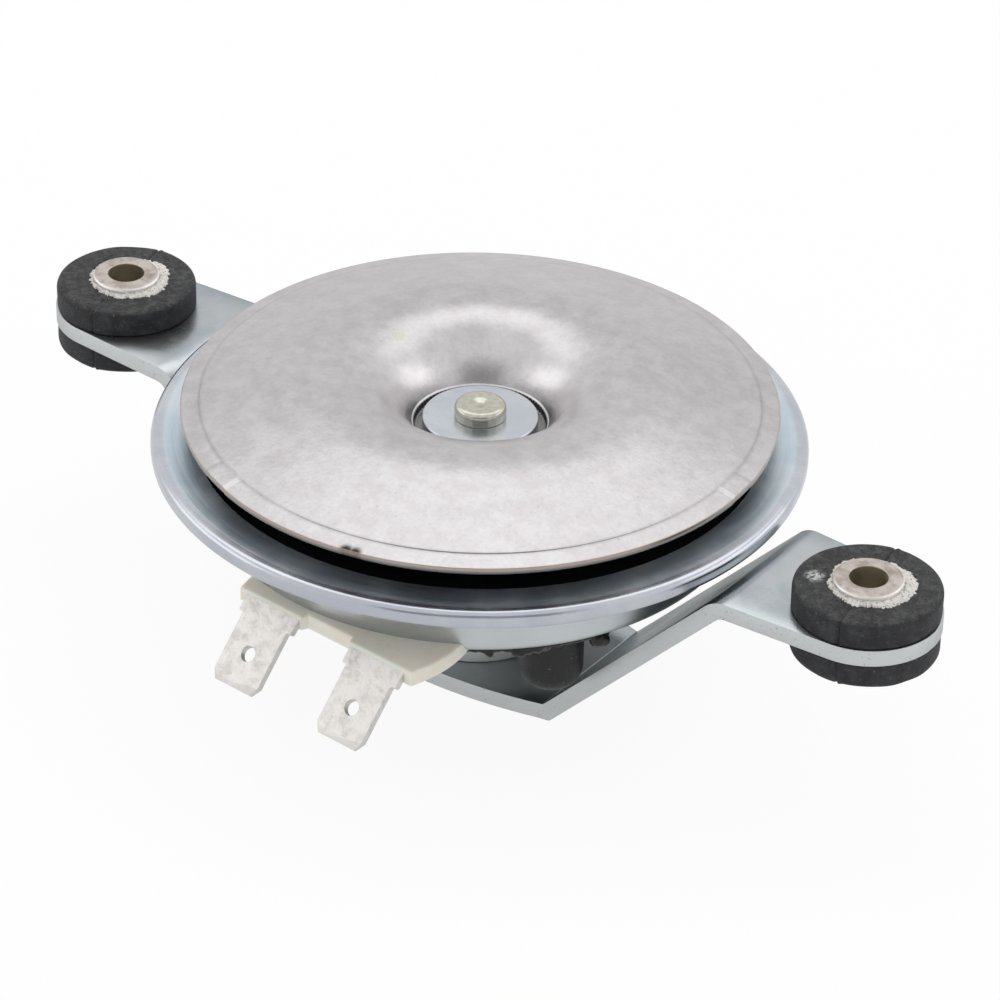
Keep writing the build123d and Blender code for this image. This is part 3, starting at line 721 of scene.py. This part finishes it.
piece_of("ring", spun(section, 384), zinc_ring, "crimp_ring")

# ------------------------------------------------------------------ tone disc
# Pressed from 0.9 mm aluminium: a funnel round a flat bottomed well, a rounded crest and a
# long outer slope. Left as pressed, satin and cloudy, with a coined step near its edge.

well_floor = 27.2
disc_sheet = 0.9
disc_radius = 32.7
edge_rise = 3.21
crest_rise = 6.66
crest_radius = 16.8
cone_radius = 21.5
lip_radius = 7.37
lip_rise = 0.9
ledge = 0.16
well_radius = 7.25
rivet_hole = 2.05
step_radius = 30.68
step_depth = 0.1
rib_depth = 0.06
rib_count = 84

disc_aluminium, place = finish_of("disc_aluminium", Metallic=1.0)
cloudy = place.cloud(2.4, 5, 0.7)
fine = place.cloud(0.5, 3, 0.65)
broad = place.cloud(13, 3, 0.5)
flecks = place.cloud(0.26, 2, 0.6).rise(0.66, 0.74)
radius = place.from_axis()
cut_edge = radius.rise(disc_radius - 0.2, disc_radius - 0.02)
turned_ring = 1 - abs(radius - cone_radius).rise(0.05, 0.4)
tone = cloudy.rise(0.3, 0.7).tint((0.44, 0.42, 0.425), (0.51, 0.495, 0.50))
# The funnel between the well's lip and the crest is painted lighter: painted light.
funnel = radius.rise(7.3, 7.5) * (1 - radius.rise(9.0, 13.5))
tone = (0.9 + funnel * 0.2 + broad * 0.2 + (fine - 0.5) * 0.22 - flecks * 0.1).shade(tone)
stain = place.near(-12.75, 1.8, 0.8, 0.6) * 0.3
tone = stain.tint(tone, (0.36, 0.37, 0.26))
nick = place.near(6.4, -32.1, 0.75, 0.5).most(place.near(7.4, -31.8, 0.65, 0.6))
tone = (nick * place.cloud(0.5, 2).rise(0.22, 0.38)).tint(tone, (0.03, 0.03, 0.03))
# A narrow band along the coined step is painted darker: painted shade in the step.
painted_shade_at_step = 1 - abs(radius - (step_radius - 0.02)).rise(0.06, 0.4)
tone = (1 - painted_shade_at_step * 0.13).shade(tone)
tone = (cut_edge * 0.7).tint(tone, (0.36, 0.29, 0.24))
# Inside the well the aluminium is painted dark grey: painted shade in the recess.
clear_of_painted_well_shade = radius.rise(7.2, 7.45)
tone = clear_of_painted_well_shade.tint((0.20, 0.20, 0.20), tone)
coat(
    disc_aluminium,
    Base_Color=tone,
    Roughness=0.25 + cloudy * 0.12 + turned_ring * 0.03,
    Normal=(cloudy * 0.8 + fine * 0.5 - flecks * 0.3 + broad).relief(0.035),
)

# The funnel's arc leaves the lip upright, and both arcs use most of the room that they have.
funnel_rise = crest_rise - lip_rise
funnel_run = crest_radius - lip_radius
funnel_tangent = (funnel_run**2 + funnel_rise**2) / (2 * funnel_run)
funnel_slope = atan2(funnel_rise, funnel_run - funnel_tangent)
slope_start = (crest_radius + cone_radius) / 2
slope_angle = atan2(crest_rise - edge_rise, disc_radius - slope_start)
crest_points = [
    (crest_radius - funnel_tangent, well_floor + crest_rise),
    (slope_start, well_floor + crest_rise),
    (disc_radius - 0.06, well_floor + edge_rise),
]
crest_radii = [
    0.88 * funnel_tangent / tan(funnel_slope / 2),
    0.95 * (slope_start - crest_radius) / tan(slope_angle / 2),
]
well = [(rivet_hole, well_floor), (well_radius, well_floor)]
lip_height = well_floor + lip_rise
ledge_points = [(lip_radius - 0.03, lip_height - 0.1), (lip_radius + ledge, lip_height)]
lip_points = [(lip_radius, lip_height)]
top_line = rounded(well + ledge_points + crest_points, [0.3, 0.08, 0.2] + crest_radii, step=2.5)
under_line = rounded(well + lip_points + crest_points, [0.3, 1.3] + crest_radii, step=2.5)
slope_end = top_line.pop()
start = top_line[-1]
step_line = [step_radius - 0.07, step_radius, step_radius + 0.07]
for slope_radius in [25, 28, 30, 30.5] + step_line + [30.9, 31.6, 32.2]:
    share = (slope_radius - start.x) / (slope_end.x - start.x)
    top_line.append(start.lerp(slope_end, share))
top_line.append(slope_end)


def pressed(angle, radius, height):
    """The coined step, left out over two short arcs, and the ribs that the punch left in the well."""
    turn = degrees(angle) % 360
    left_out = 2.0 < turn < 9.0 or 243.1 < turn < 250.2
    if radius > step_radius and not left_out:
        height -= step_depth
    if radius < lip_radius - 0.035 and well_floor + 0.05 < height < lip_height - 0.15:
        radius += rib_depth * cos(angle * rib_count)
    return radius, height


section = sheet_section(top_line, 0, disc_sheet, under_line)
piece_of("disc", spun(section, 720, pressed), disc_aluminium, "tone_disc")

# ------------------------------------------------------------------ clamp washer and centre rivet
# A thick zinc plated washer sits in the well, and one nickel plated rivet clamps washer,
# disc, diaphragm and armature together. Its head has the dimple of the setting tool.

washer_radius = 6.35
washer_top = 28.7
rivet_head = 2.85
rivet_shank = 2
rivet_top = 30.3
rivet_foot = 22.5
dimple_depth = 0.2

washer_zinc, place = finish_of("washer_zinc", Metallic=1.0)
patches = place.cloud(3, 4, 0.6).rise(0.35, 0.7)
coat(
    washer_zinc,
    Base_Color=patches.tint((0.49, 0.52, 0.57), (0.53, 0.56, 0.60)),
    Roughness=0.2 + patches * 0.08,
    Normal=place.cloud(0.6, 3).relief(0.012),
)
section = rounded(
    [
        (rivet_hole, washer_top),
        (washer_radius, washer_top),
        (washer_radius, well_floor),
        (rivet_hole, well_floor),
    ],
    [0.2, 0.1],
    step=18,
)
piece_of("washer", spun(section, 160), washer_zinc, "clamp_washer")

rivet_nickel, place = finish_of("rivet_nickel", Metallic=1.0)
grain = place.cloud(0.7, 3)
coat(
    rivet_nickel,
    Base_Color=grain.rise(0.3, 0.7).tint((0.44, 0.43, 0.36), (0.52, 0.51, 0.44)),
    Roughness=0.14 + grain * 0.1,
    Normal=grain.relief(0.012),
)
section = rounded(
    [
        (0, rivet_top - dimple_depth),
        (0.3, rivet_top - dimple_depth),
        (1.2, rivet_top),
        (rivet_head, rivet_top - 0.04),
        (rivet_head, washer_top),
        (rivet_shank, washer_top),
        (rivet_shank, rivet_foot),
        (0, rivet_foot),
    ],
    [0.5, 1.2, 0.6, 0.1, 0.05, 0.1],
    step=12,
)
piece_of("rivet", spun(section, 128), rivet_nickel, "centre_rivet")

# ------------------------------------------------------------------ push-on tabs
# Two 6.3 mm blades stamped from tinned brass, bent down where they leave the block. The tips
# are coined to a wedge, and the shoulders stop the receptacle that is pushed on.

terminal_turn = radians(-3.7)
terminal_offset = 5.2
tab_pitch = 14.74
tab_thickness = 0.8
tab_half = 3.15
tab_length = 9.7
shoulder_half = 3.75
shoulder_length = 2.0
shoulder_corner = 0.15
tip_corner_length = 1.1
tip_corner_width = 0.6
wedge_length = 0.95
detent_radius = 0.85
detent_from_tip = 3.9
bend_start = -0.35
bend_rate = 0.25
tab_slope = radians(47)
block_front = 31.2
block_bottom = 16.8
root_height = block_bottom + 1.55
turned_frame = Matrix.Rotation(terminal_turn, 4, "Z")

tinned_brass, place = finish_of("tinned_brass", Metallic=1.0)
stains = place.cloud(1.5, 5, 0.7).rise(0.42, 0.72)
specks = place.cloud(0.3, 3, 0.6).rise(0.62, 0.72)
grain = place.cloud(0.45, 3)
tone = stains.tint((0.69, 0.665, 0.64), (0.59, 0.56, 0.53))
coat(
    tinned_brass,
    Base_Color=(specks * 0.4).tint(tone, (0.38, 0.36, 0.33)),
    Roughness=0.42 + stains * 0.12,
    Normal=(grain + stains * 0.6).relief(0.03),
)


def plate(outlines, thickness, edge):
    """A flat plate with broken edges from closed outlines, lying between heights 0 and thickness."""
    curve = bpy.data.curves.new("plate", "CURVE")
    curve.dimensions = "2D"
    curve.fill_mode = "BOTH"
    curve.extrude = thickness / 2 - edge
    curve.bevel_depth = edge
    curve.bevel_resolution = 1
    curve.offset = -edge
    for outline in outlines:
        spline = curve.splines.new("POLY")
        spline.points.add(len(outline) - 1)
        for point, (x, y) in zip(spline.points, outline):
            point.co = (x, y, 0, 1)
        spline.use_cyclic_u = True
    holder = bpy.data.objects.new("plate", curve)
    data = bpy.data.meshes.new_from_object(holder)
    mesh = bmesh.new()
    mesh.from_mesh(data)
    bpy.data.objects.remove(holder)
    bmesh.ops.remove_doubles(mesh, verts=mesh.verts, dist=0.001)
    bmesh.ops.translate(mesh, vec=(0, 0, thickness / 2), verts=mesh.verts)
    return mesh


blade = [
    (shoulder_half, 0.5),
    (shoulder_half, -shoulder_length + shoulder_corner),
    (shoulder_half - shoulder_corner, -shoulder_length),
    (tab_half + 0.12, -shoulder_length),
    (tab_half, -shoulder_length - shoulder_corner),
    (tab_half, tip_corner_length - tab_length),
    (tab_half - tip_corner_width, -tab_length),
]
blade += [(-x, y) for x, y in reversed(blade)]
hole = []
for index in range(36):
    angle = radians(10 * index)
    along = detent_from_tip - tab_length + detent_radius * sin(angle)
    hole.append((detent_radius * cos(angle), along))
wedge_start = wedge_length - tab_length
for side, x in (("left", terminal_offset - tab_pitch / 2), ("right", terminal_offset + tab_pitch / 2)):
    mesh = plate([blade, hole], tab_thickness, 0.07)
    whole = mesh.verts[:] + mesh.edges[:] + mesh.faces[:]
    bmesh.ops.bisect_plane(mesh, geom=whole, plane_co=(0, wedge_start, 0), plane_no=(0, 1, 0))
    middle = tab_thickness / 2
    for vert in mesh.verts:
        share = max(0.0, (wedge_start - vert.co.y) / wedge_length)
        bend = max(0.0, vert.co.y - bend_start)
        vert.co.z = middle + (vert.co.z - middle) * (1 - 0.5 * share) - bend**2 * bend_rate
    lay = Matrix.Translation((x, -block_front, root_height)) @ Matrix.Rotation(tab_slope, 4, "X")
    lay = turned_frame @ lay @ Matrix.Translation((0, 0, -tab_thickness))
    bmesh.ops.transform(mesh, matrix=lay, verts=mesh.verts)
    piece_of(f"tab_{side}", mesh, tinned_brass, f"terminal_tab_{side}", sharp=20)

# ------------------------------------------------------------------ terminal block
# Cream nylon moulding that carries the tabs. Its tongue passes through the pan's wall and its
# back fits against the pan, so that only the front half shows.

block_height = 1.9
block_half = 12.1
block_bulge = 0.8
block_middle = 26.35
recess_half = 3.1
recess_depth = 0.8
recess_taper = 0.3
right_end_back = 22.0
left_end_back = 27.1
wall_line = 28.2

nylon_cream, place = finish_of(
    "nylon_cream", Subsurface_Weight=0.35, Subsurface_Scale=0.002, Specular_IOR_Level=0.45
)
cloudy = place.cloud(5, 3)
pitted = place.cloud(0.4, 3)
coat(
    nylon_cream,
    Base_Color=cloudy.rise(0.3, 0.7).tint((0.94, 0.89, 0.79), (0.87, 0.82, 0.71)),
    Roughness=0.38 + cloudy * 0.15,
    Normal=(cloudy + pitted * 0.6).relief(0.04),
)
left_end = terminal_offset - block_half
right_end = terminal_offset + block_half


def bulge(y):
    """How far the block's rounded ends stand out at a distance y from the horn's axis."""
    return block_bulge * (1 - ((y - block_middle) / (block_front - block_middle)) ** 2)


outline = [
    (left_end, -block_front),
    (terminal_offset - recess_half - recess_taper, -block_front),
    (terminal_offset - recess_half, -block_front + recess_depth),
    (terminal_offset + recess_half, -block_front + recess_depth),
    (terminal_offset + recess_half + recess_taper, -block_front),
    (right_end, -block_front),
]
for index in range(1, 13):
    y = block_front + (right_end_back - block_front) * index / 12
    outline.append((right_end + bulge(y), -y))
for index in range(1, 24):
    x = right_end + (left_end - right_end) * index / 24
    outline.append((x, -sqrt(wall_line**2 - x**2)))
for index in range(6):
    y = left_end_back + (block_front - left_end_back) * index / 6
    outline.append((left_end - bulge(y), -y))
mesh = plate([outline], block_height, 0.3)
lay = turned_frame @ Matrix.Translation((0, 0, block_bottom))
bmesh.ops.transform(mesh, matrix=lay, verts=mesh.verts)
piece_of("block", mesh, nylon_cream, "terminal_block", sharp=20)

# ------------------------------------------------------------------ adjuster cap and sealing compound
# A moulded cap over the adjusting screw, and a bead of glossy black compound that was run by
# hand from the block to the cap to seal the holes in the pan's floor.

cap_x, cap_y = 18.29, -11.21
cap_radius = 3.5
cap_bottom = 7.4
floor_bottom = 16.4
bead_reach = 27.2

cap_black, place = finish_of("cap_black", Specular_IOR_Level=0.4)
dust = place.cloud(0.4, 3, 0.6).rise(0.64, 0.74)
bloom = place.cloud(2, 4).rise(0.4, 0.7)
tone = bloom.tint((0.010, 0.010, 0.011), (0.02, 0.02, 0.021))
coat(
    cap_black,
    Base_Color=(dust * 0.3).tint(tone, (0.4, 0.4, 0.38)),
    Roughness=0.5 + bloom * 0.2,
    Normal=place.cloud(0.8, 4, 0.6).relief(0.08),
)
section = rounded(
    [(0, cap_bottom), (cap_radius, cap_bottom), (cap_radius, floor_bottom), (0, floor_bottom)],
    [2.5, 0.05],
    step=7,
)
piece_of("cap", spun(section, 96, centre=(cap_x, cap_y)), cap_black, "adjuster_cap")

sealant_black, place = finish_of("sealant_black", Specular_IOR_Level=0.35)
lumps = place.cloud(0.9, 3)
coat(
    sealant_black,
    Base_Color=lumps.rise(0.3, 0.7).tint((0.006, 0.006, 0.007), (0.012, 0.012, 0.013)),
    Roughness=0.16 + lumps * 0.15,
    Normal=lumps.relief(0.15),
)
mesh = bmesh.new()
drops = []
for index in range(60):
    angle = radians(-61 + 38 * index / 59)
    wander = noise.noise(Vector((index * 0.37, 2.0, 0)))
    size = 0.38 + 0.24 * noise.noise(Vector((index * 0.61, 7.0, 0)))
    drops.append((bead_reach + 0.3 * wander, angle, floor_bottom + 0.05 + 0.15 * wander, size))
# The larger drips: one on its own, three over the cap's shoulder and one past the cap.
drops += [
    (27.2, radians(-51.2), 16.0, 0.4),
    (27.4, radians(-50.6), 15.85, 0.35),
    (27.3, radians(-45.0), 16.0, 0.5),
    (27.2, radians(-43.6), 15.9, 0.6),
    (27.0, radians(-41.8), 16.1, 0.7),
    (26.8, radians(-39.6), 16.2, 0.85),
    (26.6, radians(-37.8), 16.1, 0.8),
    (27.3, radians(-25.4), 15.9, 1.0),
    (27.4, radians(-24.4), 15.7, 0.85),
]
for reach, angle, height, size in drops:
    spot = Matrix.Translation((reach * cos(angle), reach * sin(angle), height)) @ Matrix.Scale(size, 4)
    bmesh.ops.create_icosphere(mesh, subdivisions=3, radius=1.0, matrix=spot)
bead = piece_of("bead", mesh, sealant_black, "sealant_bead", sharp=180)
melt = bead.modifiers.new("melt", "REMESH")
melt.mode = "VOXEL"
melt.voxel_size = 0.14 * MM
ease = bead.modifiers.new("ease", "SMOOTH")
ease.iterations = 6
settle(bead, sharp=180)
bead.data.materials.clear()
bead.data.materials.append(sealant_black)

# ------------------------------------------------------------------ studio
# A pale floor that runs on past the frame, and white all round. One large soft light stands
# beyond the horn, one on each side of it, and a grey card behind the camera.

floor_paint, place = finish_of("floor_paint", Roughness=0.9, Specular_IOR_Level=0.2)
speckle = place.cloud(60, 2)
coat(floor_paint, Base_Color=speckle.tint((0.93, 0.93, 0.93), (0.95, 0.95, 0.95)))


def rays(tree, kind):
    """1 for the light paths of this kind, and 0 for the others."""
    return Socket(tree).node("ShaderNodeLightPath", result=f"Is {kind} Ray")


# What of the floor is seen shows mostly white, and the rest of it keeps the horn's shadow.
tree = floor_paint.node_tree
mirrored = rays(tree, "Glossy") + rays(tree, "Transmission")
seen = rays(tree, "Camera") * 0.92 + mirrored * 0.6
white = seen.node("ShaderNodeEmission", None, {"Color": (1.0, 1.0, 1.0), "Strength": 1.0})
painted = Socket(tree, tree.nodes["Principled BSDF"].outputs[0])
shown = seen.node("ShaderNodeMixShader", None, {0: seen, 1: painted, 2: white})
tree.links.new(shown.socket, tree.nodes["Material Output"].inputs["Surface"])


def board(name, width, height, finish):
    """A flat board of the studio, lying on the floor's level."""
    mesh = bmesh.new()
    bmesh.ops.create_grid(mesh, x_segments=4, y_segments=4, size=0.5)
    bmesh.ops.scale(mesh, vec=(width, height, 1), verts=mesh.verts)
    data = bpy.data.meshes.new(name)
    mesh.to_mesh(data)
    mesh.free()
    data.materials.append(finish)
    made = bpy.data.objects.new(name, data)
    bpy.context.scene.collection.objects.link(made)
    return made


board("floor", 4, 4, floor_paint).location.z = -0.0002

world = bpy.data.worlds.new("studio")
bpy.context.scene.world = world
world.use_nodes = True
tree = world.node_tree
seen = rays(tree, "Camera") + rays(tree, "Glossy") + rays(tree, "Transmission")
room = seen.node("ShaderNodeBackground", None, {"Color": (0.98, 0.99, 1.0), "Strength": 0.85})
white = seen.node("ShaderNodeBackground", None, {"Color": (1.0, 1.0, 1.0), "Strength": 1.0})
both = seen.node("ShaderNodeMixShader", None, {0: seen, 1: room, 2: white})
tree.links.new(both.socket, tree.nodes["World Output"].inputs["Surface"])

target = Vector((13.40, -14.53, 30.4)) * MM
eye = Vector((266.34, -365.10, 310.07)) * MM
forward = (target - eye).normalized()
right = Vector((0.80335, 0.59519, 0.01950))
up = right.cross(forward)


def set_round(thing, azimuth, elevation, distance):
    """Stand a lamp or a board off in a direction, turned to face the horn."""
    away = Vector((cos(azimuth) * cos(elevation), sin(azimuth) * cos(elevation), sin(elevation)))
    thing.location = away * distance
    thing.rotation_euler = away.to_track_quat("Z", "Y").to_euler()


def soft_light(name, azimuth, elevation, distance, width, height, level):
    """A flat soft light that faces the horn. Level 1 is as bright as a white wall."""
    lamp = bpy.data.lights.new(name, "AREA")
    lamp.shape = "RECTANGLE"
    lamp.size = width
    lamp.size_y = height
    lamp.energy = level * pi * width * height
    holder = bpy.data.objects.new(name, lamp)
    set_round(holder, azimuth, elevation, distance)
    bpy.context.scene.collection.objects.link(holder)


behind = atan2(forward.y, forward.x)
soft_light("far_light", behind, radians(63), 1.2, 1.8, 0.6, 0.87)
soft_light("left_light", behind + radians(80), radians(24), 1.2, 1.0, 0.5, 0.8)
soft_light("right_light", behind - radians(80), radians(24), 1.2, 1.0, 0.5, 0.8)
grey_card = simple_finish("grey_card", (0.46, 0.46, 0.47), (0.42, 0.42, 0.43), 40, Roughness=0.9)
set_round(board("card", 1.5, 0.8, grey_card), behind + pi, radians(30), 1.4)

camera_data = bpy.data.cameras.new("camera")
camera_data.lens = 175.49
camera_data.sensor_width = 36
camera = bpy.data.objects.new("camera", camera_data)
camera.matrix_world = Matrix((right, up, -forward)).transposed().to_4x4()
camera.location = eye
bpy.context.scene.collection.objects.link(camera)
bpy.context.scene.camera = camera
bpy.context.scene.view_settings.view_transform = "Standard"
